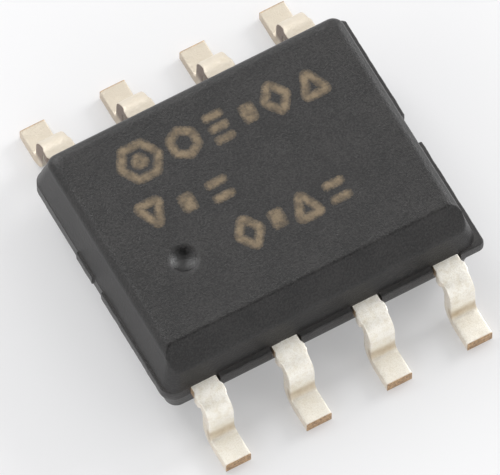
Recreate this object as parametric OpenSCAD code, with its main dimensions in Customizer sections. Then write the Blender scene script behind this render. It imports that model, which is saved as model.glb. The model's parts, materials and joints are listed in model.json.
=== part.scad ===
// Eight-lead small-outline transistor package: two power transistors on two copper
// drain frames, wired to four separate leads and moulded into one resin body.
// X runs along the rows of leads, Y across them, Z up from the board.
// The origin is on the seating plane, under the middle of the body.

/* [Body] */
// Length of the body at its parting line
body_length = 4.90; // [4.80:0.01:5.00]
// Width of the body at its parting line
body_width = 3.90; // [3.80:0.01:4.00]
// Height of the top face above the board
body_top = 1.58; // [1.50:0.01:1.70]
// Clearance between the underside and the board
standoff = 0.15; // [0.10:0.01:0.25]
// Draft of the four walls, in degrees
draft = 12.5; // [5:0.5:15]
// Radius of the upright corners
corner_radius = 0.20; // [0.10:0.01:0.30]
// Radius of the edges round the top face and the underside
edge_radius = 0.07; // [0.03:0.01:0.12]
// Size of the 45 degree chamfer along the edge above lead 1
chamfer = 0.32; // [0.25:0.01:0.40]
// Diameter of the dimple beside lead 1
dimple_d = 0.50; // [0.40:0.01:0.70]
// Depth of the dimple
dimple_depth = 0.11; // [0.05:0.01:0.15]
// Diameter of the ejector mark on the underside
ejector_d = 1.00; // [0.60:0.05:1.20]

/* [Parting line] */
// Resin left between the leads, measured out from the wall
web_out = 0.08; // [0.04:0.01:0.12]
// Resin ledge on the right end
ledge_right = 0.075; // [0.04:0.005:0.12]
// Resin ledge on the front part of the left end
ledge_left = 0.03; // [0.02:0.005:0.10]
// Width of the notch round the cut support tab on the right end
notch_right = 0.48; // [0.24:0.01:0.60]
// Width of the same notch on the left end
notch_left = 0.26; // [0.24:0.01:0.60]

/* [Leads] */
// Distance over the toes of the two rows
lead_span = 5.90; // [5.80:0.01:6.20]
// Distance between neighbouring leads
pitch = 1.27; // [1.27:0.01:1.27]
// Thickness of the copper frame
frame_t = 0.20; // [0.18:0.01:0.23]
// Width of a lead
lead_w = 0.395; // [0.33:0.005:0.45]
// Height of the frame's top surface above the board
frame_top = 0.88; // [0.80:0.01:0.95]
// Inside radius of both bends
bend_r = 0.10; // [0.07:0.01:0.14]
// Lean of the leg from upright, in degrees
leg_lean = 2; // [1:1:12]
// Straight part of the foot, from the bend to the toe
foot_length = 0.36; // [0.30:0.01:0.42]
// Distance from the wall to the stubs of the cut dam bar
dam_start = 0.13; // [0.10:0.01:0.16]
// Length of those stubs along the lead
dam_length = 0.14; // [0.08:0.01:0.16]
// How far a stub stands out on each side of the lead
dam_stub = 0.025; // [0.01:0.005:0.05]

/* [Inner frame] */
// Gap between the two drain pads
pad_gap = 0.24; // [0.20:0.01:0.40]
// Gap between the drain pads and the inner ends of the separate leads
post_gap = 0.22; // [0.18:0.01:0.30]
// Width of the inner end of a source lead
source_post_w = 0.92; // [0.70:0.01:0.95]
// Width of the inner end of a gate lead
gate_post_w = 0.62; // [0.45:0.01:0.70]
// Depth of those inner ends, front to back
post_depth = 0.55; // [0.45:0.01:0.60]
// Width of the support tab that runs to each end
tab_w = 0.20; // [0.16:0.01:0.22]

/* [Chips] */
// Length of a chip along X
chip_x = 1.56; // [1.20:0.01:1.60]
// Width of a chip along Y
chip_y = 1.60; // [1.20:0.01:1.70]
// Thickness of a chip
chip_t = 0.20; // [0.15:0.01:0.25]
// Thickness of the solder under a chip
solder_t = 0.03; // [0.02:0.005:0.04]

/* [Bond wires] */
// Diameter of a source wire
source_wire_d = 0.050; // [0.040:0.002:0.060]
// Diameter of a gate wire
gate_wire_d = 0.038; // [0.030:0.002:0.045]
// Radius at the top of a wire's loop
loop_r = 0.09; // [0.07:0.01:0.12]
// Slope of a wire down to its lead, in degrees
loop_slope = 24; // [18:1:30]

/* [Hidden] */

$fn = 48;
resin = [0.20, 0.19, 0.19];
tin = [0.84, 0.81, 0.74];
silicon = [0.42, 0.44, 0.48];
solder = [0.62, 0.63, 0.66];
gold = [0.90, 0.72, 0.32];

hx = body_length / 2;
hy = body_width / 2;
slope = tan(draft);
frame_bottom = frame_top - frame_t;
big = 20;
skin = 0.001;
dimple_at = [-1.40, -0.48];
ejector_depth = 0.04;
corner_taper = 0.3;

// Resin at the parting line
ledge_left_end = 0.62;
lead_relief = 0.03;

// Leads
lead_x = [for (i = [0 : 3]) (i - 1.5) * pitch];
half_span = lead_span / 2;
bend_mid = bend_r + frame_t / 2;
bend_turn = 90 - leg_lean;
leg_run = bend_mid * sin(bend_turn);
leg_fall = bend_mid * (1 - cos(bend_turn));
leg_length = (frame_bottom - 2 * leg_fall) / cos(leg_lean);
shoulder = half_span - hy - foot_length - 2 * leg_run - leg_length * sin(leg_lean);
wall_cover = 0.20;
inner_start = hy - wall_cover;

// Inner frame
post_back = -inner_start + post_depth;
pad_front = post_back + post_gap;
pad_back = 1.34;
pad_inner = pad_gap / 2;
end_wall = 0.26;
pad_outer = hx - end_wall;
post_shift = [0.18, 0, 0, -0.06];
root_cover = 0.20;
pad_r = 0.10;
post_r = 0.08;
lock_r = 0.11;
post_lock_r = 0.06;
tab_y = 0.04;

// Chips
chip_z = frame_top + solder_t;
chip_top = chip_z + chip_t;
chip_cx = (pad_inner + pad_outer) / 2;
chip_margin = 0.16;
chip_cy = pad_front + chip_margin + chip_y / 2;
solder_rim = 0.05;
solder_r = 0.08;

// Bond wires, for the left transistor and then the right one
sides = 8;
bond_h = 0.03;
land_r = 0.18;
source_pitch = 0.19;
source_bond_shift = [-0.24, -0.36];
source_bond_front = 0.40;
gate_bond_inset = 0.20;
stitch_inset = 0.20;
chip_places = [-chip_cx, chip_cx];
post_x = [for (i = [0 : 3]) lead_x[i] + post_shift[i]];
source_bond_x = chip_places + source_bond_shift;
source_bond_y = chip_cy - source_bond_front;
gate_bond_x = [for (x = chip_places) x + chip_x / 2 - gate_bond_inset];
gate_bond_y = chip_cy - chip_y / 2 + gate_bond_inset;
stitch_y = -inner_start + stitch_inset;

// ---------------------------------------------------------------- helpers

// Points along an arc, from angle a0 to a1 in n steps
function arc(centre, r, a0, a1, n) =
    [for (i = [0 : n]) centre + r * [cos(a0 + (a1 - a0) * i / n), sin(a0 + (a1 - a0) * i / n)]];

// A plate with round corners, spanning x0..x1 and y0..y1
module plate(x0, x1, y0, y1, r, h) {
    linear_extrude(h) {
        translate([x0 + r, y0]) square([x1 - x0 - 2 * r, y1 - y0]);
        translate([x0, y0 + r]) square([x1 - x0, y1 - y0 - 2 * r]);
        for (x = [x0 + r, x1 - r], y = [y0 + r, y1 - r])
            translate([x, y]) circle(r);
    }
}

// The four corners of one level of the body, drawn in by inset all round
module level(z, inset) {
    r = corner_radius - inset * corner_taper;
    for (x = [-1, 1], y = [-1, 1])
        translate([x * (hx - inset - r), y * (hy - inset - r), z])
            cylinder(h = skin, r = r, $fn = 32);
}

// One half of the body: a drafted block of height h with a rounded far edge
module half_block(h) {
    steps = 4;
    hull() {
        level(0, 0);
        for (i = [0 : steps])
            level(h - edge_radius * (1 - sin(90 * i / steps)) - skin,
                  (h - edge_radius) * slope + edge_radius * (1 - cos(90 * i / steps)));
    }
}

// Everything beyond the sloping plane of the chamfer
module chamfer_cut() {
    foot_z = body_top - chamfer;
    foot_y = -hy + (foot_z - frame_top) * slope;
    translate([0, foot_y, foot_z])
        rotate([45, 0, 0])
            translate([-big / 2, -big, 0])
                cube([big, 2 * big, big]);
}

// Ball that leaves a round bowl of that diameter and depth below Z = 0
module bowl(d, depth) {
    ball_r = (d * d / 4 + depth * depth) / (2 * depth);
    translate([0, 0, ball_r - depth]) sphere(ball_r);
}

// ---------------------------------------------------------------- leads

// Side view of a formed lead: x is the distance out from the wall, y the height
module lead_profile(inside) {
    r_out = bend_r + frame_t;
    knee = [shoulder, frame_top - r_out];
    heel = [half_span - hy - foot_length, r_out];
    steps = 10;
    polygon(concat(
        [[-inside, frame_top]],
        arc(knee, r_out, 90, 90 - bend_turn, steps),
        arc(heel, bend_r, 270 - bend_turn, 270, steps),
        [[heel[0] + foot_length, frame_t], [heel[0] + foot_length, 0]],
        arc(heel, r_out, 270, 270 - bend_turn, steps),
        arc(knee, bend_r, 90 - bend_turn, 90, steps),
        [[-inside, frame_bottom]]));
}

// Cutter for a round hole through the frame
module frame_hole(x, y, r) {
    translate([x, y, frame_bottom - frame_t])
        cylinder(h = 3 * frame_t, r = r);
}

// Formed lead on the +Y side, with the stubs of the dam bar beside its shoulder
module formed_lead(x, inside) {
    translate([x, hy, 0]) {
        rotate([90, 0, 90])
            linear_extrude(lead_w, center = true)
                lead_profile(inside);
        rotate([90, 0, 90])
            linear_extrude(lead_w + 2 * dam_stub, center = true)
                intersection() {
                    lead_profile(inside);
                    translate([dam_start, 0]) square([dam_length, frame_top]);
                }
    }
}

// Separate lead on the -Y side: an inner post with a locking hole and the formed part
module post_lead(i, post_w) {
    difference() {
        union() {
            mirror([0, 1, 0]) formed_lead(lead_x[i], hy - inner_start);
            translate([0, 0, frame_bottom])
                plate(post_x[i] - post_w / 2, post_x[i] + post_w / 2,
                      -inner_start, post_back, post_r, frame_t);
        }
        frame_hole(lead_x[i], -inner_start, post_lock_r);
    }
}

// Drain frame on the +X side: pad, two fused leads, support tab and locking holes
module drain_frame() {
    difference() {
        union() {
            translate([0, 0, frame_bottom])
                plate(pad_inner, pad_outer, pad_front, pad_back, pad_r, frame_t);
            for (i = [2, 3])
                formed_lead(lead_x[i], hy - pad_back + root_cover);
            translate([pad_outer - root_cover, tab_y - tab_w / 2, frame_bottom])
                cube([end_wall + root_cover, tab_w, frame_t]);
        }
        for (i = [2, 3])
            frame_hole(lead_x[i], pad_back + lock_r, lock_r);
        frame_hole(chip_cx, pad_back, lock_r);
    }
}

// ---------------------------------------------------------------- transistors

// Chip on the +X side, with the saw-cut outline of a diced wafer
module chip() {
    translate([chip_cx - chip_x / 2, chip_cy - chip_y / 2, chip_z])
        cube([chip_x, chip_y, chip_t]);
}

// Solder under that chip, with a narrow rim
module die_attach() {
    translate([0, 0, frame_top])
        plate(chip_cx - chip_x / 2 - solder_rim, chip_cx + chip_x / 2 + solder_rim,
              chip_cy - chip_y / 2 - solder_rim, chip_cy + chip_y / 2 + solder_rim,
              solder_r, solder_t);
}

// Ball-bonded wire from a point on the chip to a point on a lead, swept in one plane:
// the ball, up to the crest of the loop, down the slope, and flattened into the lead
module bond_wire(start, end, d) {
    way = end - start;
    r = d / 2;
    flat = 0.4;
    rest = frame_top + r * flat * cos(180 / sides);
    run = (norm(way) - loop_r * (1 + sin(loop_slope)) - land_r * sin(loop_slope))
        / cos(loop_slope);
    crest = rest + land_r * (1 - cos(loop_slope)) + run * sin(loop_slope)
        - loop_r * cos(loop_slope);
    // Each ring: distance along, height, direction, and its size across and through
    rings = concat(
        [[0, chip_top, 90, 2.2 * r, 2.2 * r], [0, chip_top + bond_h, 90, 2.2 * r, 2.2 * r],
         [0, chip_top + 1.5 * bond_h, 90, r, r]],
        [for (i = [0 : 6]) let (turn = (90 + loop_slope) * i / 6)
            [loop_r * (1 - cos(turn)), crest + loop_r * sin(turn), 90 - turn, r, r]],
        [for (i = [0 : 4]) let (a = loop_slope * (1 - i / 4), part = pow(a / loop_slope, 2))
            [norm(way) - land_r * sin(a), rest + land_r * (1 - cos(a)), -a,
             r * (1.6 - 0.6 * part), r * (flat + (1 - flat) * part)]],
        [[norm(way) + 2.5 * d, rest, 0, 1.6 * r, r * flat]]);
    n = len(rings);
    points = [for (g = rings, j = [0 : sides - 1]) let (a = (j + 0.5) * 360 / sides)
        [g[0] - g[4] * sin(a) * sin(g[2]), g[3] * cos(a), g[1] + g[4] * sin(a) * cos(g[2])]];
    faces = concat(
        [[for (j = [0 : sides - 1]) j]],
        [for (i = [0 : n - 2], j = [0 : sides - 1]) let (k = (j + 1) % sides)
            [i * sides + j, (i + 1) * sides + j, (i + 1) * sides + k, i * sides + k]],
        [[for (j = [0 : sides - 1]) n * sides - 1 - j]]);
    translate([start[0], start[1], 0])
        rotate(atan2(way[1], way[0]))
            polyhedron(points, faces);
}

// Wires of the left (s = -1) or right (s = 1) transistor; k numbers the source wires
module source_wire(s, k) {
    i = s < 0 ? 0 : 1;
    step = (k - 1.5) * source_pitch;
    color(gold)
        bond_wire([source_bond_x[i] + step, source_bond_y],
                  [post_x[2 * i] + step, stitch_y], source_wire_d);
}

module gate_wire(s) {
    i = s < 0 ? 0 : 1;
    color(gold)
        bond_wire([gate_bond_x[i], gate_bond_y], [post_x[2 * i + 1], stitch_y],
                  gate_wire_d);
}

// ---------------------------------------------------------------- sub-parts

module source_lead_1() { color(tin) post_lead(0, source_post_w); }
module gate_lead_2() { color(tin) post_lead(1, gate_post_w); }
module source_lead_3() { color(tin) post_lead(2, source_post_w); }
module gate_lead_4() { color(tin) post_lead(3, gate_post_w); }
module drain_frame_a() { color(tin) mirror([1, 0, 0]) drain_frame(); }
module drain_frame_b() { color(tin) drain_frame(); }
module die_attach_a() { color(solder) mirror([1, 0, 0]) die_attach(); }
module die_attach_b() { color(solder) die_attach(); }
module die_a() { color(silicon) mirror([1, 0, 0]) chip(); }
module die_b() { color(silicon) chip(); }

module inner_parts() {
    source_lead_1();
    gate_lead_2();
    source_lead_3();
    gate_lead_4();
    drain_frame_a();
    drain_frame_b();
    die_attach_a();
    die_attach_b();
    die_a();
    die_b();
    for (s = [-1, 1]) {
        for (k = [0 : 3]) source_wire(s, k);
        gate_wire(s);
    }
}

// Resin at the level of the frame: the webs between the end leads and the end ledges,
// notched round the cut support tabs and cut free beside each lead
module parting_web() {
    translate([0, 0, frame_bottom])
        difference() {
            union() {
                plate(-hx, hx, -hy, hy, corner_radius, frame_t);
                translate([lead_x[0], -hy - web_out, 0])
                    cube([lead_x[3] - lead_x[0], 2 * (hy + web_out), frame_t]);
                plate(0, hx + ledge_right, -hy - web_out / 2, hy + web_out / 2,
                      corner_radius, frame_t);
                plate(-hx - ledge_left, 0, -hy, ledge_left_end, corner_radius / 2, frame_t);
            }
            translate([hx, tab_y - notch_right / 2, -frame_t])
                cube([big, notch_right, 3 * frame_t]);
            translate([-hx - big, tab_y - notch_left / 2, -frame_t])
                cube([big, notch_left, 3 * frame_t]);
            for (x = lead_x, s = [-1, 1])
                translate([x, s * (hy + web_out), frame_t / 2])
                    cube([lead_w + 2 * lead_relief, 2 * web_out, 2 * frame_t], center = true);
        }
}

module mould_body() {
    color(resin)
        difference() {
            union() {
                difference() {
                    translate([0, 0, frame_top]) half_block(body_top - frame_top);
                    chamfer_cut();
                    translate([dimple_at[0], dimple_at[1], body_top])
                        bowl(dimple_d, dimple_depth);
                }
                parting_web();
                translate([0, 0, frame_bottom])
                    mirror([0, 0, 1]) half_block(frame_bottom - standoff);
            }
            translate([0, 0, standoff - ejector_depth])
                cylinder(h = 2 * ejector_depth, r = ejector_d / 2);
            inner_parts();
        }
}

mould_body();
source_lead_1();
gate_lead_2();
source_lead_3();
gate_lead_4();
drain_frame_a();
drain_frame_b();
die_attach_a();
die_attach_b();
die_a();
die_b();
source_wire(-1, 0);  // source_wire_a1
source_wire(-1, 1);  // source_wire_a2
source_wire(-1, 2);  // source_wire_a3
source_wire(-1, 3);  // source_wire_a4
gate_wire(-1);  // gate_wire_a
source_wire(1, 0);  // source_wire_b1
source_wire(1, 1);  // source_wire_b2
source_wire(1, 2);  // source_wire_b3
source_wire(1, 3);  // source_wire_b4
gate_wire(1);  // gate_wire_b
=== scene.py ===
import json
import math

import bmesh
import bpy
import numpy as np
from mathutils import Matrix, Vector, geometry, noise


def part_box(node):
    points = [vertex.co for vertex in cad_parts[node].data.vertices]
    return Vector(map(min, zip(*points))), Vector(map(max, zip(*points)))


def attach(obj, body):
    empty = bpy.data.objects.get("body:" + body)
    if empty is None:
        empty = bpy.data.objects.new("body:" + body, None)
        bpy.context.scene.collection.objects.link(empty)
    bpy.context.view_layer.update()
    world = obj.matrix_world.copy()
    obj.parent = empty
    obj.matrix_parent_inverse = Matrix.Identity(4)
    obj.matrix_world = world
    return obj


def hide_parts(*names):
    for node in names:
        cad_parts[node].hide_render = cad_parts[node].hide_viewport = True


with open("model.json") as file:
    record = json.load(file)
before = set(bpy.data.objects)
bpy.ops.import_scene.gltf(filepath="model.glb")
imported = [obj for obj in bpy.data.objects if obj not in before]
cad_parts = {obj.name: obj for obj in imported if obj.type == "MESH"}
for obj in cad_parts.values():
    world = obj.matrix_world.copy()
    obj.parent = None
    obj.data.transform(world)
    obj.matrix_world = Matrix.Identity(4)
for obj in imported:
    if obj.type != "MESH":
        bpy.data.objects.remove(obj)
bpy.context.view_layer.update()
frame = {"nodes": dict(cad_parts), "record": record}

# The object's lengths are in millimetres, in the frame's own axes, and become metres in make_mesh().
# The floor, lamps and camera are in metres.
MM = 0.001


def box_mm(node):
    """Lowest and highest corner of a CAD node, in millimetres."""
    low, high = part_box(node)
    return low / MM, high / MM


# ---------------------------------------------------------------- dimensions

body_low, body_high = box_mm("mould_body")
row_low, _ = box_mm("source_lead_1")
chip_low, _ = box_mm("die_b")

# Body: the web and ledges at the parting line, and the two drafted halves above and below it
WEB_OUT = 0.08
LEDGE_RIGHT = 0.075
LEDGE_LEFT = 0.03
LEDGE_LEFT_END = 0.62
HALF_X = body_high.x - LEDGE_RIGHT
HALF_Y = body_high.y - WEB_OUT
BODY_TOP = body_high.z
STANDOFF = body_low.z
FRAME_T = 0.20
SOLDER_T = 0.03
FRAME_TOP = chip_low.z - SOLDER_T
FRAME_BOTTOM = FRAME_TOP - FRAME_T
SLOPE = math.tan(math.radians(12.5))
CORNER_R = 0.20
CORNER_TAPER = 0.3
EDGE_R = 0.16
CHAMFER = 0.32
CHAMFER_SOFT = 0.007
CHAMFER_REACH = 0.5     # points deeper than this under the chamfer's plane stay where they are
DIMPLE_AT = (-1.40, -0.50)
DIMPLE_R = 0.21
DIMPLE_DEPTH = 0.072
DIMPLE_LIP = 0.12
EJECTOR_R = 0.50
EJECTOR_DEPTH = 0.04
EJECTOR_LIP = 0.012

# Web: its roughness is the size and the height of a wave
WEB_CORNER_R = 0.02     # corner radius that the web starts from at the right end, before its own width
WEB_BEVEL = 0.014
WEB_SWELL = 0.004
WEB_WAVE = (0.22, 0.006)
WEB_GRAIN = (0.07, 0.003)
NOTCH_RIGHT = 0.48
NOTCH_LEFT = 0.26

# Leads
PITCH = 1.27
LEAD_X = [(i - 1.5) * PITCH for i in range(4)]
LEAD_W = 0.395
LEAD_INSIDE = 0.21
HALF_SPAN = -row_low.y
BEND_R = 0.10
LEG_LEAN = math.radians(2)
LEG_TURN = math.pi / 2 - LEG_LEAN
FOOT = 0.36
DAM_START = 0.13
DAM_LENGTH = 0.14
DAM_STUB = 0.025
DAM_SOFT = 0.030
RELIEF = 0.03
SLOT_HALF = LEAD_W / 2 + RELIEF

# Frame inside the body: pads, posts and support tabs
TAB_Y = 0.04
TAB_W = 0.20
PAD_INNER = 0.12
PAD_OUTER = HALF_X - 0.26
PAD_BACK = 1.34
POST_FRONT = -HALF_Y + 0.20
POST_BACK = POST_FRONT + 0.55
PAD_FRONT = POST_BACK + 0.22
PAD_CORNER_R = 0.08
FINGER_END = HALF_Y - 0.20
LOCK_R = 0.11
LOCK_GAP = 0.02
POST_LOCK_R = 0.06
POST_LOCK_IN = 0.09
POST_W = (0.92, 0.62, 0.92, 0.62)
POST_SHIFT = (0.18, 0.0, 0.0, -0.06)

# Spacing of the meshes, and the width of a step between two levels
GRID = 0.030
LEAD_STEP = 0.018
SHARP = 0.004


# ---------------------------------------------------------------- mesh helpers

class Shell:
    """Vertices in millimetres, faces and per-vertex values of closed forms."""

    def __init__(self):
        self.points = []
        self.faces = []
        self.values = {}

    def add(self, point, **values):
        """A new vertex, with its values. Gives its number."""
        self.points.append(tuple(point))
        for name, value in values.items():
            self.values.setdefault(name, {})[len(self.points) - 1] = value
        return len(self.points) - 1

    def bridge(self, ring, other):
        """Quads between two closed rings of the same length."""
        count = len(ring)
        for i in range(count):
            j = (i + 1) % count
            self.faces.append((ring[i], ring[j], other[j], other[i]))

    def fan(self, ring, centre):
        """Triangles between a closed ring and a vertex in its middle."""
        for i in range(len(ring)):
            self.faces.append((ring[i], ring[(i + 1) % len(ring)], centre))

    def middle(self, ring):
        return sum((Vector(self.points[i]) for i in ring), Vector()) / len(ring)


def make_mesh(name, shell, sharp):
    """A mesh object from a shell, with outward normals, smooth up to a fold of sharp degrees."""
    mesh = bpy.data.meshes.new(name)
    mesh.from_pydata([Vector(p) * MM for p in shell.points], [], shell.faces)
    for value_name, values in shell.values.items():
        layer = mesh.attributes.new(value_name, "FLOAT", "POINT")
        data = np.zeros(len(shell.points), np.float32)
        data[list(values)] = list(values.values())
        layer.data.foreach_set("value", data)
    bm = bmesh.new()
    bm.from_mesh(mesh)
    bmesh.ops.recalc_face_normals(bm, faces=bm.faces)
    bm.to_mesh(mesh)
    bm.free()
    mesh.polygons.foreach_set("use_smooth", [True] * len(mesh.polygons))
    mesh.set_sharp_from_angle(angle=math.radians(sharp))
    obj = bpy.data.objects.new(name, mesh)
    bpy.context.scene.collection.objects.link(obj)
    return obj


def spaced(knots, step):
    """Numbers from the first knot to the last, through every knot, about a step apart."""
    knots = sorted(knots)
    line = [knots[0]]
    for a, b in zip(knots, knots[1:]):
        count = max(1, round((b - a) / step))
        line += [a + (b - a) * i / count for i in range(1, count + 1)]
    return line


def arc(cx, cy, radius, start, end, count=8):
    """Points along an arc between two angles in degrees."""
    return [(cx + radius * math.cos(math.radians(start + (end - start) * i / count)),
             cy + radius * math.sin(math.radians(start + (end - start) * i / count)))
            for i in range(count + 1)]


def rising(x, low, high):
    """0 up to low, 1 from high on, and smooth between them."""
    t = min(1.0, max(0.0, (x - low) / (high - low)))
    return t * t * (3 - 2 * t)


def falling(x, low, high):
    """1 up to low, 0 from high on, and smooth between them."""
    return rising(-x, -high, -low)


def wobble(x, y, layer, size, amount):
    """Smooth noise of that size in millimetres, from -amount to amount. Each layer has its own."""
    return amount * noise.noise(Vector((x, y, layer)) / size)


# ---------------------------------------------------------------- moulded body

def round_corner(x, y, half_x, half_y, radius):
    """A point of a rectangle's grid, moved into the same rectangle with round corners.
    Also gives the outward direction there, for points on the outline."""
    px = (abs(x) - half_x + radius) / radius
    py = (abs(y) - half_y + radius) / radius
    sx = math.copysign(1, x)
    sy = math.copysign(1, y)
    if px > 0 and py > 0:
        qx = px * math.sqrt(1 - py * py / 2)
        qy = py * math.sqrt(1 - px * px / 2)
        core_x, core_y = half_x - radius, half_y - radius
        return sx * (core_x + radius * qx), sy * (core_y + radius * qy), sx * qx, sy * qy
    if px > py:
        return x, y, sx, 0
    return x, y, 0, sy


def chamfered(x, y, z):
    """The point, pressed back to the chamfer's plane where it lies beyond it, with a soft edge."""
    foot_z = BODY_TOP - CHAMFER
    foot_y = -HALF_Y + (foot_z - FRAME_TOP) * SLOPE
    beyond = (foot_y - y + z - foot_z) / math.sqrt(2)
    if beyond < -CHAMFER_REACH:
        return x, y, z
    kept = -CHAMFER_SOFT * math.log1p(math.exp(-beyond / CHAMFER_SOFT))
    move = (kept - beyond) / math.sqrt(2)
    return x, y - move, z + move


def slot_edges():
    """Both sides of each gap that the web leaves for a lead."""
    return [x + side * SLOT_HALF for x in LEAD_X for side in (-1, 1)]


def beside(values):
    """A number just below and just above each value, so that a step there is steep."""
    return [v + side * SHARP for v in values for side in (-1, 1)]


def web_reach(x, y, nx, ny):
    """How far the web or ledge stands out from the body's outline at a point, along X and Y."""
    rough = wobble(x, y, 0, *WEB_WAVE) + wobble(x, y, 5, *WEB_GRAIN)
    if any(abs(x - lead) < SLOT_HALF for lead in LEAD_X) or x < LEAD_X[0]:
        out_y = SHARP
    elif x < LEAD_X[3]:
        out_y = WEB_OUT + rough
    else:
        out_y = WEB_OUT / 2 + rough
    if x > 0:
        out_x, notch = LEDGE_RIGHT, NOTCH_RIGHT
    else:
        out_x, notch = (LEDGE_LEFT if y < LEDGE_LEFT_END else SHARP), NOTCH_LEFT
    if abs(y - TAB_Y) < notch / 2:
        out_x = SHARP
    if out_x > SHARP:
        out_x += rough
    out_x, out_y = out_x * abs(nx), out_y * abs(ny)
    if x > 0 and nx and ny:    # the web squares the corners of the right end
        out_x += (CORNER_R - WEB_CORNER_R) * (1 - abs(nx))
        out_y += (CORNER_R - WEB_CORNER_R) * (1 - abs(ny))
    return out_x, out_y


def drawn_back(out, back):
    """A reach of the web, less its bevel, but never less than half of the reach."""
    return max(out - back * (out > SHARP), out / 2)


def bowl_profile(radius, depth, lip):
    """Radius and height down a ball-shaped bowl with a rounded lip, from its rim to its middle."""
    flat_rim, lip_steps, bowl_steps = 1.08, 6, 16
    ball = (radius * radius + depth * depth) / (2 * depth)
    rise = ball - depth + lip
    lip_at = math.sqrt((ball + lip) ** 2 - rise ** 2)
    turn = math.atan2(lip_at, rise)
    profile = [(lip_at * flat_rim, 0.0)]
    for i in range(lip_steps + 1):
        a = turn * i / lip_steps
        profile.append((lip_at - lip * math.sin(a), lip * (math.cos(a) - 1)))
    for i in range(1, bowl_steps):
        a = turn * (1 - i / bowl_steps)
        profile.append((ball * math.sin(a), ball - depth - ball * math.cos(a)))
    return profile + [(0.0, -depth)]


def recess_profile(radius, depth, lip):
    """Radius and height down a shallow round recess with a flat floor, from its rim to its middle."""
    flat_rim, lip_steps, lean = 1.12, 3, 0.3
    profile = [(radius * flat_rim, 0.0)]
    for i in range(lip_steps + 1):
        turn = math.radians(90) * i / lip_steps
        profile.append((radius + lip * (1 - math.sin(turn)), lip * (math.cos(turn) - 1)))
    profile += [(radius - lip * lean, -depth + lip), (radius - lip * (lean + 1), -depth)]
    return profile + [(radius * share, -depth) for share in (0.8, 0.6, 0.4, 0.2, 0.0)]


POLISH_FROM, POLISH_FULL = 0.10, 0.50    # shares of a pocket's depth
# Painted light at the parting line: the web and the crease beside it are paled, standing in for floor
# light reflected onto them
WEB_PAINTED_LIGHT, CREASE_PAINTED_LIGHT = 0.1, 0.6       # how pale the web is, and the crease beside it


def face_grid(shell, lines_x, lines_y, place, hole_at, hole_reach, profile, up):
    """A rectangular grid of quads, with a round pocket in place of a block of it.
    Gives the closed ring of its outline, and where each vertex of it is in the flat grid."""
    last_x, last_y = len(lines_x) - 1, len(lines_y) - 1
    flat = [[place(x, y) for y in lines_y] for x in lines_x]
    across = [column[len(lines_y) // 2][0] for column in flat]
    along = [point[1] for point in flat[len(lines_x) // 2]]
    inside_x = [i for i, x in enumerate(across) if abs(x - hole_at[0]) < hole_reach]
    inside_y = [j for j, y in enumerate(along) if abs(y - hole_at[1]) < hole_reach]
    x0, x1, y0, y1 = inside_x[0], inside_x[-1], inside_y[0], inside_y[-1]
    ids = {}
    for i in range(last_x + 1):
        for j in range(last_y + 1):
            if not (x0 < i < x1 and y0 < j < y1):
                ids[i, j] = shell.add(flat[i][j], polish=0.0)
    for i in range(last_x):
        for j in range(last_y):
            if not (x0 <= i < x1 and y0 <= j < y1):
                shell.faces.append((ids[i, j], ids[i + 1, j], ids[i + 1, j + 1], ids[i, j + 1]))

    def loop(a0, a1, b0, b1):
        return ([(i, b0) for i in range(a0, a1)] + [(a1, j) for j in range(b0, b1)]
                + [(i, b1) for i in range(a1, a0, -1)] + [(a0, j) for j in range(b1, b0, -1)])

    block = loop(x0, x1, y0, y1)
    ring = [ids[key] for key in block]
    turns = [math.atan2(flat[i][j][1] - hole_at[1], flat[i][j][0] - hole_at[0]) for i, j in block]
    level = flat[x0][y0][2]
    deepest = min(height for _, height in profile)
    for radius, height in profile[:-1]:
        polish = rising(height / deepest, POLISH_FROM, POLISH_FULL)
        new = [shell.add((hole_at[0] + radius * math.cos(t), hole_at[1] + radius * math.sin(t),
                          level + up * height), polish=polish) for t in turns]
        shell.bridge(ring, new)
        ring = new
    shell.fan(ring, shell.add((hole_at[0], hole_at[1], level + up * profile[-1][1]), polish=1.0))
    outline = loop(0, last_x, 0, last_y)
    return [ids[key] for key in outline], [(lines_x[i], lines_y[j]) for i, j in outline]


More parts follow.
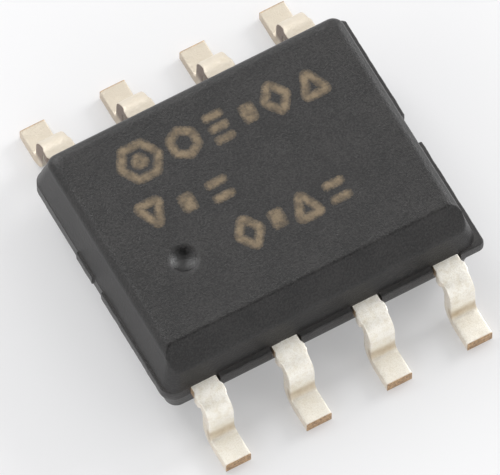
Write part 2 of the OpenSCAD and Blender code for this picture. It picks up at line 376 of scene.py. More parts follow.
def body_shell():
    """The moulded body: two drafted halves that meet at a web between the leads."""
    shell = Shell()
    lines_x = spaced([-HALF_X, HALF_X] + beside(slot_edges()), GRID)
    notches = [TAB_Y + side * width / 2 for width in (NOTCH_LEFT, NOTCH_RIGHT) for side in (-1, 1)]
    lines_y = spaced([-HALF_Y, HALF_Y] + beside(notches + [LEDGE_LEFT_END]), GRID)

    def place(x, y, z, inset, press):
        half_x, half_y = HALF_X - inset, HALF_Y - inset
        px, py, nx, ny = round_corner(x * half_x / HALF_X, y * half_y / HALF_Y,
                                      half_x, half_y, CORNER_R - inset * CORNER_TAPER)
        if press:
            px, py, z = chamfered(px, py, z)
        return (px, py, z), (nx, ny)

    def wall(height, direction, start):
        """Levels of one half, from its outer face to the parting line: height and inset."""
        edge_steps = 7
        reach = height - EDGE_R
        levels = []
        for i in range(edge_steps + 1):
            turn = math.radians(90) * i / edge_steps
            levels.append((start + direction * (height - EDGE_R * (1 - math.cos(turn))),
                           reach * SLOPE + EDGE_R * (1 - math.sin(turn))))
        count = round(reach / GRID)
        for i in range(1, count):
            rise = reach * (1 - i / count)
            levels.append((start + direction * rise, rise * SLOPE))
        return levels

    def half(height, direction, start, press, hole_at, hole_reach, profile):
        """One half, with its pocket. Gives its last ring and that ring's places in the flat grid."""
        levels = wall(height, direction, start)
        face_z, face_inset = levels[0]

        def on_face(x, y):
            return place(x, y, face_z, face_inset, press)[0]

        ring, source = face_grid(shell, lines_x, lines_y, on_face, hole_at, hole_reach,
                                 profile, direction)
        for z, inset in levels[1:]:
            new = [shell.add(place(x, y, z, inset, press)[0], polish=0.0) for x, y in source]
            shell.bridge(ring, new)
            ring = new
        return ring, source

    ring, source = half(BODY_TOP - FRAME_TOP, 1, FRAME_TOP, True, DIMPLE_AT, DIMPLE_R * 1.5,
                        bowl_profile(DIMPLE_R, DIMPLE_DEPTH, DIMPLE_LIP))
    bottom, _ = half(FRAME_BOTTOM - STANDOFF, -1, FRAME_BOTTOM, False, (0, 0), EJECTOR_R * 1.3,
                     recess_profile(EJECTOR_R, EJECTOR_DEPTH, EJECTOR_LIP))
    # levels down the web: height, whether it stands out there, and how far it is drawn back
    web_levels = [(FRAME_TOP, 0, 0), (FRAME_TOP, 1, WEB_BEVEL), (FRAME_TOP - WEB_BEVEL, 1, 0),
                  (FRAME_TOP - FRAME_T / 2, 1, -WEB_SWELL), (FRAME_BOTTOM + WEB_BEVEL, 1, 0),
                  (FRAME_BOTTOM, 1, WEB_BEVEL), (FRAME_BOTTOM, 0, 0)]
    for z, stands_out, back in web_levels:
        # painted light: a paler web, and paler still at the creases where it meets the two halves
        flash = WEB_PAINTED_LIGHT if stands_out else CREASE_PAINTED_LIGHT
        new = []
        for x, y in source:
            (px, py, _), (nx, ny) = place(x, y, z, 0, False)
            out_x, out_y = (drawn_back(out, back) * stands_out for out in web_reach(x, y, nx, ny))
            point = (px + math.copysign(out_x, px), py + math.copysign(out_y, py), z)
            new.append(shell.add(point, flash=flash))
        shell.bridge(ring, new)
        ring = new
    shell.bridge(ring, bottom)
    return shell


# ---------------------------------------------------------------- formed leads

class LeadPath:
    """Middle line of a formed lead, from inside the body to the toe."""

    def __init__(self, inside):
        mid = BEND_R + FRAME_T / 2
        run = mid * math.sin(LEG_TURN)
        fall = mid * (1 - math.cos(LEG_TURN))
        leg = (FRAME_BOTTOM - 2 * fall) / math.cos(LEG_LEAN)
        shoulder = HALF_SPAN - HALF_Y - FOOT - 2 * run - leg * math.sin(LEG_LEAN)
        self.inside = inside
        self.pieces = [(inside + shoulder, 0), (mid * LEG_TURN, -LEG_TURN), (leg, 0),
                       (mid * LEG_TURN, LEG_TURN), (FOOT, 0)]
        self.length = sum(reach for reach, _ in self.pieces)

    def at(self, length):
        """Distance out from the wall, height and direction at a length along the line."""
        out, height, heading = -self.inside, FRAME_TOP - FRAME_T / 2, 0.0
        for reach, bend in self.pieces:
            part = min(length, reach)
            turned = bend * part / reach
            chord = part * math.sin(turned / 2) / (turned / 2) if turned else part
            out += chord * math.cos(heading + turned / 2)
            height += chord * math.sin(heading + turned / 2)
            heading += turned
            length -= part
            if length <= 0:
                break
        return out, height, heading


# Finish of a lead: edge radii, thinning at the bends, fall of the top face to its edges, and
# waves as size and height
LEAD_EDGE_TOP = 0.020
LEAD_EDGE_LOW = 0.012
BEND_THINNING = 0.008
TOP_FALL = 0.004
STUB_TEAR = (0.035, 0.004)
WIDTH_WAVE = (0.5, 0.004)
FACE_WAVE = (0.3, 0.002)
TOE_TEAR = (0.03, 0.0025)
TOE_RINGS = ((0.004, -0.0035), (0.010, -0.001), (0.035, 0.0), (0.070, -0.0005))    # inset, forward

# Where the colour changes, plate and painted shade alike: heights on the lead, and distances along it or
# in from its sides
DOWN_BAND = (0.20, 0.50)
CREASE_START = (0.10, 0.18)
CREASE_END = (0.30, 0.46)
LEG_BAND = (0.25, 0.45)
TOE_WORN = (0.024, 0.008)
ROOT_SHADE_SPAN = (-0.05, 0.01)
SIDE_BAND = (0.010, 0.002)
SIDE_TOP = 0.016
TOE_CUT_FAR, TOE_CUT_NEAR = 0.9, 0.5
# painted shade on the lead's sides, heavier at the root beside the body; the toe's bare copper is its
# own colour
SIDE_SHADE, ROOT_SHADE = 0.3, 0.5


def section(width, thick):
    """Rounded outline of a lead's cross-section: across and through."""
    corners = [(1, 1, LEAD_EDGE_TOP, 0, 8), (-1, 1, LEAD_EDGE_TOP, 90, 4),
               (-1, -1, LEAD_EDGE_LOW, 180, 8), (1, -1, LEAD_EDGE_LOW, 270, 4)]
    rounds = [arc(sx * (width / 2 - radius), sy * (thick / 2 - radius), radius, start, start + 90, 4)
              for sx, sy, radius, start, _ in corners]
    outline = []
    for i, (*_, steps) in enumerate(corners):
        (ax, ay), (bx, by) = rounds[i][-1], rounds[(i + 1) % 4][0]
        outline += rounds[i]
        outline += [(ax + (bx - ax) * k / steps, ay + (by - ay) * k / steps) for k in range(1, steps)]
    return outline


def swept_lead(shell, x, side, seed):
    """One formed lead at x on the side (-1 or 1), with its dam-bar stubs and cut toe. The far
    row gets painted shade: browner than the near one, and dark on its leg sides."""
    path = LeadPath(LEAD_INSIDE)
    # the far row gets painted shade: a browner tin, and dark leg sides
    far = 1.0 if side > 0 else 0.0
    dam_from = LEAD_INSIDE + DAM_START
    dam_to = dam_from + DAM_LENGTH
    knots = [0, dam_from - DAM_SOFT, dam_from + DAM_SOFT,
             dam_to - DAM_SOFT, dam_to + DAM_SOFT, path.length]
    rings = []
    for length in spaced(knots, LEAD_STEP):
        out, height, heading = path.at(length)
        stub = (rising(length, dam_from - DAM_SOFT, dam_from + DAM_SOFT)
                * falling(length, dam_to - DAM_SOFT, dam_to + DAM_SOFT))
        torn = DAM_STUB + wobble(out, seed, 2, *STUB_TEAR)
        width = LEAD_W + 2 * stub * torn + wobble(length, seed, 0, *WIDTH_WAVE)
        bent = min(1.0, abs(heading) / LEG_TURN)
        thick = FRAME_T - BEND_THINNING * math.sin(bent * math.pi)
        drop = wobble(length, seed, 4, *FACE_WAVE)
        # down: the lower part of the lead is painted warmer and slightly darker, as shade
        down = falling(height, *DOWN_BAND)
        # crease: painted shade in the concave bend where the leg turns into the foot
        crease = falling(height, *CREASE_END) * rising(height, *CREASE_START)
        leg = rising(height, *LEG_BAND)
        toe = rising(length, path.length - TOE_WORN[0], path.length - TOE_WORN[1])
        root = 1 - rising(length, dam_from + ROOT_SHADE_SPAN[0], dam_from + ROOT_SHADE_SPAN[1])
        toe_cut = (TOE_CUT_FAR if far else TOE_CUT_NEAR) * toe
        # painted shade on the sides, heaviest at the root beside the body
        side_shade_share = SIDE_SHADE + ROOT_SHADE * root
        ring = []
        for a, b in section(width, thick):
            b -= TOP_FALL * (2 * a / width) ** 4 * (b > 0)
            on_side = (rising(abs(a), width / 2 - SIDE_BAND[0], width / 2 - SIDE_BAND[1])
                       * (b < thick / 2 - SIDE_TOP))
            point = (x + a, side * (HALF_Y + out - b * math.sin(heading)),
                     height + b * math.cos(heading) + drop * (b > 0))
            ring.append(shell.add(point, cut=max(toe_cut, on_side * side_shade_share), down=down,
                                  crease=crease * (b > 0), dull=far, scorch=on_side * leg * far))
        rings.append(ring)
    for a, b in zip(rings, rings[1:]):
        shell.bridge(a, b)
    shell.fan(rings[0], shell.add(shell.middle(rings[0]), cut=0.0, down=0.0, crease=0.0))
    # the toe: a small round, then the rough cut face
    ring, centre = rings[-1], shell.middle(rings[-1])
    last = [shell.points[i] for i in ring]
    for step, (inset, forward) in enumerate(TOE_RINGS):
        new = []
        for point in last:
            px = centre.x + (point[0] - centre.x) * (1 - inset / (LEAD_W / 2))
            pz = centre.z + (point[2] - centre.z) * (1 - inset / (FRAME_T / 2))
            tear = wobble(px, pz, seed, *TOE_TEAR) * (step > 0)
            py = centre.y + side * (forward + tear)
            new.append(shell.add((px, py, pz), cut=1.0, down=1.0, crease=0.0))
        shell.bridge(ring, new)
        ring = new
    shell.fan(ring, shell.add(centre, cut=1.0, down=1.0, crease=0.0))


# ---------------------------------------------------------------- flat inner frames

def slab(shell, loops):
    """A flat piece of the frame, at its height and thickness: an outline, then its holes."""
    flat = [point for loop in loops for point in loop]
    values = {"cut": 0.0, "down": 0.0, "crease": 0.0}
    high = [shell.add((px, py, FRAME_TOP), **values) for px, py in flat]
    low = [shell.add((px, py, FRAME_BOTTOM), **values) for px, py in flat]
    for tri in geometry.tessellate_polygon([[Vector((*point, 0)) for point in loop] for loop in loops]):
        shell.faces.append(tuple(high[i] for i in tri))
        shell.faces.append(tuple(low[i] for i in reversed(tri)))
    start = 0
    for loop in loops:
        count = len(loop)
        shell.bridge(high[start:start + count], low[start:start + count])
        start += count


def lock_hole(x, y, radius):
    """A round hole that locks the resin to the frame."""
    return arc(x, y, radius, 0, 360, 24)[:-1]


def drain_pad(shell, sign):
    """Drain pad with two fingers, a support tab and locking holes; sign is the side along X."""
    r, half = PAD_CORNER_R, LEAD_W / 2
    pad_x = (PAD_INNER + PAD_OUTER) / 2
    outline = arc(PAD_INNER + r, PAD_FRONT + r, r, 180, 270)
    outline += arc(PAD_OUTER - r, PAD_FRONT + r, r, 270, 360)
    outline += [(PAD_OUTER, TAB_Y - TAB_W / 2), (HALF_X, TAB_Y - TAB_W / 2),
                (HALF_X, TAB_Y + TAB_W / 2), (PAD_OUTER, TAB_Y + TAB_W / 2)]
    outline += arc(PAD_OUTER - r, PAD_BACK - r, r, 0, 90)
    for lead in (LEAD_X[3], LEAD_X[2]):
        outline += [(lead + half, PAD_BACK), (lead + half, FINGER_END),
                    (lead - half, FINGER_END), (lead - half, PAD_BACK)]
        if lead > pad_x:
            outline += arc(pad_x, PAD_BACK, LOCK_R, 360, 180)    # a notch between the fingers
    outline += arc(PAD_INNER + r, PAD_BACK - r, r, 90, 180)
    holes = [lock_hole(lead, PAD_BACK + LOCK_R + LOCK_GAP, LOCK_R) for lead in LEAD_X[2:]]
    slab(shell, [[(sign * px, py) for px, py in loop] for loop in (outline, *holes)])


def lead_post(shell, i):
    """Inner end of a separate lead: a post that a bond wire lands on, with a locking hole."""
    r = PAD_CORNER_R
    x0 = LEAD_X[i] + POST_SHIFT[i] - POST_W[i] / 2
    x1 = x0 + POST_W[i]
    outline = (arc(x0 + r, POST_FRONT + r, r, 180, 270) + arc(x1 - r, POST_FRONT + r, r, 270, 360)
               + arc(x1 - r, POST_BACK - r, r, 0, 90) + arc(x0 + r, POST_BACK - r, r, 90, 180))
    slab(shell, [outline, lock_hole(LEAD_X[i], POST_FRONT + POST_LOCK_IN, POST_LOCK_R)])


# ---------------------------------------------------------------- printed marks

INK_HALF = 0.046
INK_FADE = 0.044
INK_RISE = 0.003
INK_SINK = 0.0005
INK_DEPTH = 0.006
INK_EDGE = 0.6              # share of the ink's thickness where it starts to thin out
INK_WAVE = (0.05, 0.010)    # size and height of the waves of its edge
INK_STEP = 0.025
MARK_CORNER_R = 0.045


def rounded(corners, radius, closed):
    """Points along straight lines between corners, each corner rounded, about INK_STEP apart."""
    corner_steps, longest_round = 6, 0.48
    count = len(corners)
    line = []
    for i in range(count):
        here = Vector(corners[i])
        if not closed and i in (0, count - 1):
            line.append(here)
            continue
        back = Vector(corners[i - 1]) - here
        ahead = Vector(corners[(i + 1) % count]) - here
        reach = min(radius / math.tan(back.angle(ahead) / 2),
                    back.length * longest_round, ahead.length * longest_round)
        start, end = here + back.normalized() * reach, here + ahead.normalized() * reach
        for k in range(corner_steps + 1):
            t = k / corner_steps
            line.append(start * (1 - t) ** 2 + here * 2 * t * (1 - t) + end * t ** 2)
    points = []
    for a, b in zip(line, line[1:] + (line[:1] if closed else [])):
        steps = max(1, round((b - a).length / INK_STEP))
        points += [a.lerp(b, k / steps) for k in range(steps)]
    return points if closed else points + [line[-1]]


def ink_stroke(shell, line, closed, half):
    """A low ridge of ink along a line: full in the middle, thinning out to its edges and ends."""
    across = [(-half - INK_FADE, 0.0), (-half, INK_EDGE), (-half * 0.5, 1.0), (0, 1.0),
              (half * 0.5, 1.0), (half, INK_EDGE), (half + INK_FADE, 0.0)]
    if not closed:
        start, stop = line[0], line[-1]
        fade = (stop - start).normalized() * INK_FADE
        inner = [p for p in line if min((p - start).length, (p - stop).length) > INK_FADE * 1.2]
        line = [start - fade, start, start + fade, *inner, stop - fade, stop, stop + fade]
    rings = []
    for i, here in enumerate(line):
        before = line[i - 1] if i or closed else here
        after = line[(i + 1) % len(line)] if closed or i + 1 < len(line) else here
        way = (after - before).normalized()
        side = Vector((-way.y, way.x))
        end = 1.0 if closed else rising(min(i, len(line) - 1 - i), 0, 2)
        ring = []
        for offset, ink in across:
            spot = here + side * offset
            edge = wobble(spot.x, spot.y, 3, *INK_WAVE) * (ink < 1)
            spot += side * math.copysign(edge, offset)
            z = BODY_TOP - INK_SINK + INK_RISE * ink * end
            ring.append(shell.add((spot.x, spot.y, z), ink=ink * end))
        for offset, _ in reversed(across):
            spot = here + side * offset * 0.9
            ring.append(shell.add((spot.x, spot.y, BODY_TOP - INK_DEPTH), ink=0.0))
        rings.append(ring)
    for a, b in zip(rings, rings[1:]):
        shell.bridge(a, b)
    if closed:
        shell.bridge(rings[-1], rings[0])
    else:
        for ring in (rings[0], rings[-1]):
            shell.fan(ring, shell.add(shell.middle(ring), ink=0.0))


def polygon(count, radius, turn, squash=1.0):
    """Corners of a regular polygon, turned by degrees and drawn out or in along Y."""
    angles = [math.radians(turn + 360 * i / count) for i in range(count)]
    return [(radius * math.cos(a), radius * squash * math.sin(a)) for a in angles]


def bars(half_length, rises):
    """Bars one above the other."""
    return [([(-half_length, rise), (half_length, rise)], False, INK_HALF) for rise in rises]


# Plain shapes for the rows of marks. Each line has its corners in millimetres from the middle,
# whether it is closed, and half its width.
BLOCK_MARK = [([(-0.10, 0), (0.10, 0)], False, 0.13)]
DIAMOND_MARK = [([(0, -0.24), (0.17, 0), (0, 0.24), (-0.17, 0)], True, INK_HALF)]
RISE_MARK = [([(-0.17, -0.19), (0.17, -0.19), (0, 0.20)], True, INK_HALF)]
FALL_MARK = [([(-0.17, 0.19), (0.17, 0.19), (0, -0.20)], True, INK_HALF)]
STACK_MARK = bars(0.14, (-0.19, 0.0, 0.19))
PAIR_MARK = bars(0.15, (-0.12, 0.12))
NUT_MARK = [(polygon(6, 0.20, 30, 1.05), True, INK_HALF)]
EMBLEM = [(polygon(6, 0.29, 0), True, INK_HALF), (polygon(3, 0.10, 90), True, INK_HALF)]
MARK_PLACES = [
    (EMBLEM, -1.20, 1.11),
    (NUT_MARK, -0.53, 1.07), (STACK_MARK, 0.01, 1.05), (BLOCK_MARK, 0.475, 1.04),
    (DIAMOND_MARK, 0.91, 1.06), (RISE_MARK, 1.45, 1.03),
    (FALL_MARK, -1.43, 0.30), (BLOCK_MARK, -0.93, 0.235), (PAIR_MARK, -0.44, 0.20),
    (DIAMOND_MARK, -0.41, -0.58), (BLOCK_MARK, 0.03, -0.58), (RISE_MARK, 0.46, -0.58),
    (PAIR_MARK, 0.96, -0.60),
]


def marks_shell():
    shell = Shell()
    for shape, x, y in MARK_PLACES:
        for corners, closed, half in shape:
            placed = [(x + px, y + py) for px, py in corners]
            ink_stroke(shell, rounded(placed, MARK_CORNER_R, closed), closed, half)
    return shell


# ---------------------------------------------------------------- build pieces

body = make_mesh("body_resin", body_shell(), sharp=32)
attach(body, "root")
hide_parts("mould_body")

marks = make_mesh("top_marks", marks_shell(), sharp=60)
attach(marks, "root")

# each node's leads, counted along X, and its side along Y
lead_nodes = [("source_lead_1", [0], -1), ("gate_lead_2", [1], -1), ("source_lead_3", [2], -1),
              ("gate_lead_4", [3], -1), ("drain_frame_a", [0, 1], 1), ("drain_frame_b", [2, 3], 1)]
leads = []
for node, places, side in lead_nodes:
    shell = Shell()
    for place in places:
        swept_lead(shell, LEAD_X[place], side, seed=3.1 * place + 7.7 * side)
    if side < 0:
        lead_post(shell, places[0])
    else:
        drain_pad(shell, 1 if places[0] == 2 else -1)
    piece = make_mesh(node + "_formed", shell, sharp=50)
    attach(piece, "root")
    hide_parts(node)
    leads.append(piece)


# ---------------------------------------------------------------- materials

class Look:
    """A material's node tree, with short calls to add nodes to it."""

    def __init__(self, name):
        self.material = bpy.data.materials.new(name)
        self.material.use_nodes = True
        self.tree = self.material.node_tree
        self.shader = self.tree.nodes["Principled BSDF"]
        self.place = self.add("ShaderNodeTexCoord").outputs["Object"]

    def add(self, kind, links=None, **settings):
        """A new node, with a link or a constant for each socket named."""
        node = self.tree.nodes.new(kind)
        for key, value in settings.items():
            setattr(node, key, value)
        for socket, value in (links or {}).items():
            if isinstance(value, bpy.types.NodeSocket):
                self.tree.links.new(value, node.inputs[socket])
            else:
                node.inputs[socket].default_value = value
        return node

    def noise(self, size_mm, detail=2.0, rough=0.5):
        """Smooth noise whose features are about size_mm across."""
        return self.add("ShaderNodeTexNoise", {"Vector": self.place, "Scale": 1 / (size_mm * MM),
                                               "Detail": detail, "Roughness": rough}).outputs["Fac"]

    def ramp(self, value, *stops):
        """A colour or grey ramp through two (position, value) stops."""
        node = self.add("ShaderNodeValToRGB", {"Fac": value})
        for element, (position, colour) in zip(node.color_ramp.elements, stops):
            element.position = position
            element.color = (*colour, 1) if isinstance(colour, tuple) else (colour, colour, colour, 1)
        return node.outputs["Color"]

    def mix(self, share, a, b):
        """Colour a at a share of 0, and b at 1."""
        a, b = (value if isinstance(value, bpy.types.NodeSocket) else (*value, 1) for value in (a, b))
        return self.add("ShaderNodeMix", {0: share, 6: a, 7: b}, data_type="RGBA").outputs[2]

    def math(self, kind, a, b, clamp=False):
        return self.add("ShaderNodeMath", {0: a, 1: b}, operation=kind, use_clamp=clamp).outputs[0]

    def plus(self, a, b):
        return self.math("ADD", a, b)

    def times(self, a, b):
        return self.math("MULTIPLY", a, b)

    def swing(self, field, amount):
        """The noise field about zero, times an amount."""
        return self.times(self.math("SUBTRACT", field, 0.5), amount)

    def value(self, name):
        return self.add("ShaderNodeAttribute", attribute_name=name).outputs["Fac"]

    def bump(self, height, height_mm, normal=None):
        links = {"Height": height, "Distance": height_mm * MM}
        if normal is not None:
            links["Normal"] = normal
        return self.add("ShaderNodeBump", links).outputs["Normal"]

    def finish(self, **inputs):
        """The material, with its shader's inputs linked or set."""
        names = {"color": "Base Color", "roughness": "Roughness", "metallic": "Metallic",
                 "normal": "Normal", "specular": "Specular IOR Level", "ior": "IOR"}
        for key, value in inputs.items():
            socket = self.shader.inputs[names[key]]
            if isinstance(value, bpy.types.NodeSocket):
                self.tree.links.new(value, socket)
            else:
                socket.default_value = value
        return self.material


RESIN_DARK = (0.0020, 0.0018, 0.0018)
RESIN_LIGHT = (0.0205, 0.0188, 0.0182)
RESIN_FLECK = (0.054, 0.050, 0.048)
RESIN_PAINTED_LIGHT = (0.0800, 0.0750, 0.0720)
RESIN_POLISHED = (0.003, 0.003, 0.003)
RESIN_IOR = 1.50
GRAIN_MM = 0.030
GRAIN_HEIGHT_MM = 0.0120


def resin_look(look):
    """Colour, roughness and normal of moulded resin: fine filler grain and faint cloudiness."""
    grain = look.noise(GRAIN_MM, detail=3.0, rough=0.7)
    cloud = look.noise(0.55, detail=3.0, rough=0.55)
    fleck = look.noise(0.016, detail=1.0)
    tone = look.plus(look.times(grain, 0.75), look.times(cloud, 0.25))
    color = look.ramp(tone, (0.42, RESIN_DARK), (0.60, RESIN_LIGHT))
    flecks = look.ramp(fleck, (0.66, 0.0), (0.78, 1.0))
    color = look.mix(look.times(flecks, 0.60), color, RESIN_FLECK)
    rough = look.plus(look.times(grain, 0.16), 0.28)
    height = look.plus(look.times(grain, 0.7), look.times(fleck, 0.3))
    return color, rough, look.bump(height, GRAIN_HEIGHT_MM)


def make_resin():
    """Resin that is polished in the dimple, with painted light at the parting line: the web and its
    creases are paled.
    """
    look = Look("moulded_resin")
    color, rough, normal = resin_look(look)
    polish = look.value("polish")
    rough = look.math("SUBTRACT", rough, look.times(polish, 0.26), clamp=True)
    color = look.mix(look.times(polish, 0.8), color, RESIN_POLISHED)
    # painted light: the web and its creases are paled, standing in for floor light reflected onto them
    color = look.mix(look.times(look.value("flash"), 0.8), color, RESIN_PAINTED_LIGHT)
    return look.finish(color=color, roughness=rough, normal=normal, ior=RESIN_IOR)


INK_DARK = (0.130, 0.095, 0.055)
INK_LIGHT = (0.245, 0.180, 0.105)


def make_ink():
    """Tan ink that thins out into the resin under it."""
    look = Look("printed_ink")
    color, rough, normal = resin_look(look)
    speck = look.noise(0.035, detail=4.0, rough=0.7)
    cover = look.plus(look.value("ink"), look.swing(speck, 1.5))
    mask = look.ramp(cover, (0.05, 0.0), (1.0, 1.0))
    tone = look.ramp(look.noise(0.12, detail=3.0), (0.38, INK_DARK), (0.62, INK_LIGHT))
    color = look.mix(look.times(mask, 0.85), color, tone)
    rough = look.plus(rough, look.times(mask, 0.15))
    return look.finish(color=color, roughness=rough, normal=normal, ior=RESIN_IOR)


TIN = (0.99, 0.96, 0.88)
TIN_DULL = (0.88, 0.83, 0.71)
TIN_LOW = (0.98, 0.93, 0.82)
TIN_TAN = (0.50, 0.39, 0.25)
TIN_FAR_SHADE = (0.56, 0.49, 0.39)
TIN_METALLIC = 0.35
# painted shade on the side faces of the far row's legs
FAR_LEG_SHADE_COLOR = (0.10, 0.05, 0.03)
BARE = (0.60, 0.40, 0.22)
BARE_DARK = (0.20, 0.11, 0.06)


def make_tin():
    """Matte tin plate over copper: mottled, with painted shade in tan in the crease of the leg and
    warmer lower down, bare at the cut toe, and painted shade on the sides, darkest at the root. The far
    row has painted shade: browner, with dark sides to its legs."""
    look = Look("matte_tin")
    patch = look.noise(0.11, detail=4.0, rough=0.65)
    crystal = look.noise(0.020, detail=3.0, rough=0.7)
    color = look.ramp(patch, (0.32, TIN_DULL), (0.55, TIN))
    # painted shade: the tin turns warmer and slightly darker lower on the lead
    color = look.mix(look.times(look.value("down"), 0.6), color, TIN_LOW)
    # painted shade: tan in the crease of the leg
    crease_shade = look.math("MULTIPLY", look.value("crease"), look.plus(patch, 0.25), clamp=True)
    color = look.mix(look.times(crease_shade, 0.9), color, TIN_TAN)
    color = look.mix(look.ramp(crystal, (0.35, 0.25), (0.55, 0.0)), color, TIN_TAN)
    # painted shade: the whole far row is browner
    color = look.mix(look.times(look.value("dull"), 0.8), color, TIN_FAR_SHADE)
    torn = look.noise(0.035, detail=3.0, rough=0.7)
    bare = look.ramp(torn, (0.30, BARE_DARK), (0.65, BARE))
    # bare copper at the cut toe, and painted shade in copper tones on the sides and at the root
    bare_and_shade_mask = look.plus(look.value("cut"), look.swing(torn, 0.5))
    color = look.mix(look.ramp(bare_and_shade_mask, (0.15, 0.0), (0.85, 1.0)), color, bare)
    # painted shade: the side faces of the far legs are darkened
    color = look.mix(look.times(look.value("scorch"), 0.85), color, FAR_LEG_SHADE_COLOR)
    rough = look.plus(look.times(crystal, 0.35), 0.24)
    normal = look.bump(crystal, 0.0035, normal=look.bump(patch, 0.008))
    return look.finish(color=color, roughness=rough, normal=normal, metallic=TIN_METALLIC)


def plain_metal(name, low, high, size, rough, metallic=1.0):
    """A fine mottled metal for the inner parts."""
    look = Look(name)
    patch = look.noise(size, detail=4.0, rough=0.6)
    color = look.ramp(patch, (0.3, low), (0.7, high))
    roughness = look.plus(look.times(patch, 0.2), rough)
    return look.finish(color=color, roughness=roughness, metallic=metallic,
                       normal=look.bump(patch, size * 0.03))


def paint(obj, material):
    obj.data.materials.clear()
    obj.data.materials.append(material)


paint(body, make_resin())
paint(marks, make_ink())
tin = make_tin()
for piece in leads:
    paint(piece, tin)
inner_looks = {
    "solder": plain_metal("soft_solder", (0.34, 0.35, 0.37), (0.56, 0.57, 0.59), size=0.06, rough=0.35),
    "silicon": plain_metal("silicon_chip", (0.10, 0.11, 0.14), (0.17, 0.18, 0.22), size=0.20, rough=0.15,
                           metallic=0.6),
    "gold": plain_metal("gold_wire", (0.70, 0.47, 0.16), (0.90, 0.66, 0.26), size=0.03, rough=0.20),
}
for row in frame["record"]["subparts"]:
    if row["material_slot"] in inner_looks:
        paint(frame["nodes"][row["node"]], inner_looks[row["material_slot"]])


# ---------------------------------------------------------------- stage, light and camera

FLOOR_HALF = 0.12
FLOOR_DARK = (0.805, 0.805, 0.815)
FLOOR_LIGHT = (0.825, 0.825, 0.833)
GROUND = (0.90, 0.90, 0.905)
GROUND_SHARE = 0.32


def make_floor():
    """A pale floor. Part of what the camera and the reflections see of it is a plain pale ground,
    so that the shadows stay light."""
    mesh = bpy.data.meshes.new("floor")
    corners = [(-FLOOR_HALF, -FLOOR_HALF, 0), (FLOOR_HALF, -FLOOR_HALF, 0),
               (FLOOR_HALF, FLOOR_HALF, 0), (-FLOOR_HALF, FLOOR_HALF, 0)]
    mesh.from_pydata(corners, [], [(0, 1, 2, 3)])
    floor = bpy.data.objects.new("floor", mesh)
    bpy.context.scene.collection.objects.link(floor)
    look = Look("pale_floor")
    color = look.ramp(look.noise(6.0), (0.3, FLOOR_DARK), (0.7, FLOOR_LIGHT))
    material = look.finish(color=color, roughness=0.9, specular=0.1)
    surface = look.tree.nodes["Material Output"].inputs["Surface"]
    ray = look.add("ShaderNodeLightPath").outputs
    seen = look.math("MAXIMUM", ray["Is Camera Ray"], ray["Is Glossy Ray"])
    ground = look.add("ShaderNodeEmission", {"Color": (*GROUND, 1)}).outputs["Emission"]
    mix = look.add("ShaderNodeMixShader", {0: look.times(seen, GROUND_SHARE),
                                           1: surface.links[0].from_socket, 2: ground})
    look.tree.links.new(mix.outputs["Shader"], surface)
    paint(floor, material)


LAMP_DISTANCE = 0.09
LAMP_SIZE = 0.037


def softbox(name, azimuth, elevation, power):
    """A square lamp aimed at the object. Azimuth 0 is behind it, on +Y, and 90 is on +X."""
    a, e = math.radians(azimuth), math.radians(elevation)
    way = Vector((math.sin(a) * math.cos(e), math.cos(a) * math.cos(e), math.sin(e)))
    lamp = bpy.data.lights.new(name, "AREA")
    lamp.shape = "SQUARE"
    lamp.size = LAMP_SIZE
    lamp.energy = power
    obj = bpy.data.objects.new(name, lamp)
    obj.location = way * LAMP_DISTANCE
    obj.rotation_mode = "QUATERNION"
    obj.rotation_quaternion = way.to_track_quat("Z", "Y")
    bpy.context.scene.collection.objects.link(obj)


SKY_LEVEL = 1.13
HORIZON = (0.75, 0.75, 0.755)
ZENITH = (1.0, 1.0, 1.0)
HORIZON_SINE, ZENITH_SINE = 0.10, 0.50
FILL_WAY = (-0.66, -0.62, 0.42)
FILL_LEVEL = 1.85
FILL_EDGE, FILL_CORE = 55, 15         # degrees from the fill's middle
CAMERA_WAY = (-0.218, -0.391, 0.894)
PATCH_LEVEL = 0.02
PATCH_EDGE, PATCH_CORE = 44, 27       # degrees from the patch's middle


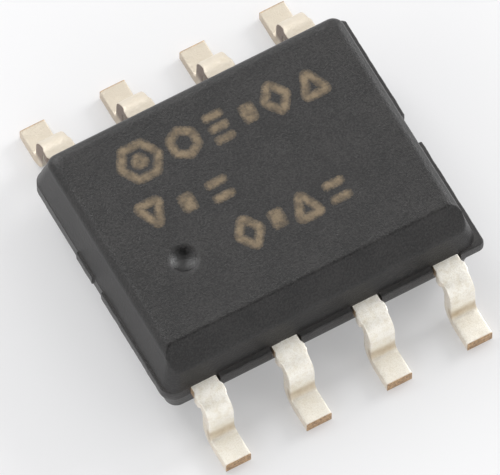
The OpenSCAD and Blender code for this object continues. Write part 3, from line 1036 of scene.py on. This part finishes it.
def make_world():
    """A pale room, dim at the horizon, with a soft fill from the front left and a dark patch
    where the camera hangs."""
    world = bpy.data.worlds.new("room")
    bpy.context.scene.world = world
    world.use_nodes = True
    nodes, links = world.node_tree.nodes, world.node_tree.links
    way = nodes.new("ShaderNodeTexCoord").outputs["Generated"]

    def towards(direction):
        node = nodes.new("ShaderNodeVectorMath")
        node.operation = "DOT_PRODUCT"
        links.new(way, node.inputs[0])
        node.inputs[1].default_value = direction
        return node.outputs["Value"]

    def ramp(value, *stops):
        node = nodes.new("ShaderNodeValToRGB")
        node.color_ramp.interpolation = "EASE"
        links.new(value, node.inputs["Fac"])
        for element, (position, colour) in zip(node.color_ramp.elements, stops):
            element.position, element.color = position, (*colour, 1)
        return node.outputs["Color"]

    def spot(direction, edge, core, outer, inner):
        """One grey level within core degrees of a direction, and another beyond edge degrees."""
        return ramp(towards(direction), (math.cos(math.radians(edge)), (outer,) * 3),
                    (math.cos(math.radians(core)), (inner,) * 3))

    def blend(kind, a, b, share):
        node = nodes.new("ShaderNodeMix")
        node.data_type, node.blend_type = "RGBA", kind
        node.inputs[0].default_value = share
        links.new(a, node.inputs[6])
        links.new(b, node.inputs[7])
        return node.outputs[2]

    sky = ramp(towards((0, 0, 1)), (HORIZON_SINE, HORIZON), (ZENITH_SINE, ZENITH))
    fill = spot(FILL_WAY, FILL_EDGE, FILL_CORE, outer=0, inner=1)
    patch = spot(CAMERA_WAY, PATCH_EDGE, PATCH_CORE, outer=1, inner=PATCH_LEVEL)
    light = blend("MULTIPLY", blend("ADD", sky, fill, FILL_LEVEL), patch, 1.0)
    links.new(light, nodes["Background"].inputs["Color"])
    nodes["Background"].inputs["Strength"].default_value = SKY_LEVEL


make_floor()
make_world()
softbox("softbox_right", azimuth=82, elevation=26, power=0.038)
softbox("softbox_back", azimuth=-14, elevation=37, power=0.030)

# The camera aims at its target, plus a small shift to the right and up in its own picture.
CAMERA_AZIMUTH = math.radians(-29.13)
CAMERA_ELEVATION = math.radians(63.41)
CAMERA_DISTANCE = 0.220
CAMERA_TARGET = Vector((0, 0, 0.0008))
SHIFT_RIGHT = -0.0000719
SHIFT_UP = -0.0003543
LENS = 1147.1
SENSOR = 36


def make_camera():
    a, e = CAMERA_AZIMUTH, CAMERA_ELEVATION
    right = Vector((math.cos(a), math.sin(a), 0))
    forward = Vector((-math.sin(a) * math.cos(e), math.cos(a) * math.cos(e), -math.sin(e)))
    up = right.cross(forward)
    aim = CAMERA_TARGET + right * SHIFT_RIGHT + up * SHIFT_UP
    turn = Matrix((right, up, -forward)).transposed().to_4x4()
    camera = bpy.data.objects.new("camera", bpy.data.cameras.new("camera"))
    camera.data.sensor_width = SENSOR
    camera.data.lens = LENS
    camera.data.clip_start, camera.data.clip_end = 0.01, 2
    camera.matrix_world = Matrix.Translation(aim - forward * CAMERA_DISTANCE) @ turn
    bpy.context.scene.collection.objects.link(camera)
    bpy.context.scene.camera = camera


make_camera()
bpy.context.scene.view_settings.view_transform = "Standard"
